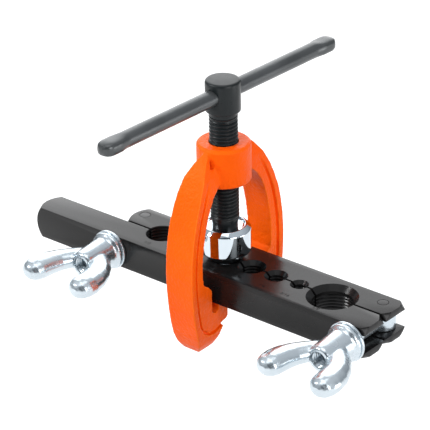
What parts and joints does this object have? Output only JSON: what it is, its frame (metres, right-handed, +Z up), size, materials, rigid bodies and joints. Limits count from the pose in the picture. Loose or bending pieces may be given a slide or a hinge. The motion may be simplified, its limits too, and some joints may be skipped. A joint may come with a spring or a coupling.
{
  "type": "tube flaring tool",
  "caption": "Hand flaring tool for small copper tube: split die bars clamped by wing nuts, a slip-on orange yoke, and a T-handled feed screw that drives a flaring cone.",
  "frame": {"origin": "on the feed screw's axis, at the middle of the die bars' height, on the parting plane between the bars (the centre of the 3/8 in tube hole)", "axes": "+X along the bars towards the open clamp end, +Y towards the hinged rear bar, +Z up the feed screw towards the T handle"},
  "size_m": [0.1769, 0.1294, 0.1078],
  "materials": {
    "bar_black": "satin black oxide on steel",
    "yoke_orange": "semi-gloss orange powder coat on a casting",
    "screw_black": "black oxide steel",
    "handle_grey": "satin dark grey steel",
    "cone_chrome": "mirror chrome",
    "zinc": "bright zinc plate",
    "pin_steel": "ground steel"
  },
  "bodies": {
    "fixed_jaw": {"front_die_bar": "bar_black", "hinge_swing_bolt": "zinc", "yoke": "yoke_orange"},
    "rear_jaw": {"rear_die_bar": "bar_black", "hinge_pin": "pin_steel", "clamp_pin": "pin_steel"},
    "clamp_bolt": {"clamp_swing_bolt": "zinc"},
    "clamp_washer_body": {"clamp_washer": "zinc"},
    "clamp_nut": {"clamp_wing_nut": "zinc"},
    "hinge_washer_body": {"hinge_washer": "zinc"},
    "hinge_nut": {"hinge_wing_nut": "zinc"},
    "cone_carrier": {"flaring_cone": "cone_chrome", "cone_retaining_ring": "pin_steel"},
    "screw": {"feed_screw": "screw_black", "thrust_ball": "pin_steel"},
    "handle": {"t_handle_bar": "handle_grey"}
  },
  "joints": [
    {"name": "jaw_open", "type": "hinge", "parent": "fixed_jaw", "child": "rear_jaw", "pos_m": [-0.0482, 0.008, 0], "axis": [0, 0, 1], "range_deg": [0, 1.5]},
    {"name": "clamp_swing", "type": "hinge", "parent": "rear_jaw", "child": "clamp_bolt", "pos_m": [0.0692, 0.008, 0], "axis": [0, 0, 1], "range_deg": [0, 95]},
    {"name": "clamp_washer_slide", "type": "slide", "parent": "clamp_bolt", "child": "clamp_washer_body", "axis": [0, -1, 0], "range_m": [0, 0.0034]},
    {"name": "clamp_nut_turn", "type": "hinge", "parent": "clamp_washer_body", "child": "clamp_nut", "pos_m": [0.0692, -0.02, 0], "axis": [0, -1, 0], "range_deg": [0, 950]},
    {"name": "hinge_washer_slide", "type": "slide", "parent": "fixed_jaw", "child": "hinge_washer_body", "axis": [0, -1, 0], "range_m": [0, 0.0026]},
    {"name": "hinge_nut_turn", "type": "hinge", "parent": "hinge_washer_body", "child": "hinge_nut", "pos_m": [-0.0482, -0.02, 0], "axis": [0, -1, 0], "range_deg": [0, 720]},
    {"name": "cone_feed", "type": "slide", "parent": "fixed_jaw", "child": "cone_carrier", "axis": [0, 0, 1], "range_m": [0, 0.0188]},
    {"name": "screw_turn", "type": "hinge", "parent": "cone_carrier", "child": "screw", "pos_m": [0, 0, 0.05], "axis": [0, 0, 1], "range_deg": [0, 4500]},
    {"name": "handle_slide", "type": "slide", "parent": "screw", "child": "handle", "axis": [0.0454, 0.999, 0], "range_m": [-0.046, 0.0475]}
  ],
  "couplings": [
    {"joint": "cone_feed", "follows": "screw_turn", "m_per_rad": 0.00023873},
    {"joint": "clamp_washer_slide", "follows": "clamp_nut_turn", "m_per_rad": 0.00020213},
    {"joint": "jaw_open", "follows": "clamp_nut_turn", "ratio": 0.0015684},
    {"joint": "hinge_washer_slide", "follows": "hinge_nut_turn", "m_per_rad": 0.00020213}
  ]
}
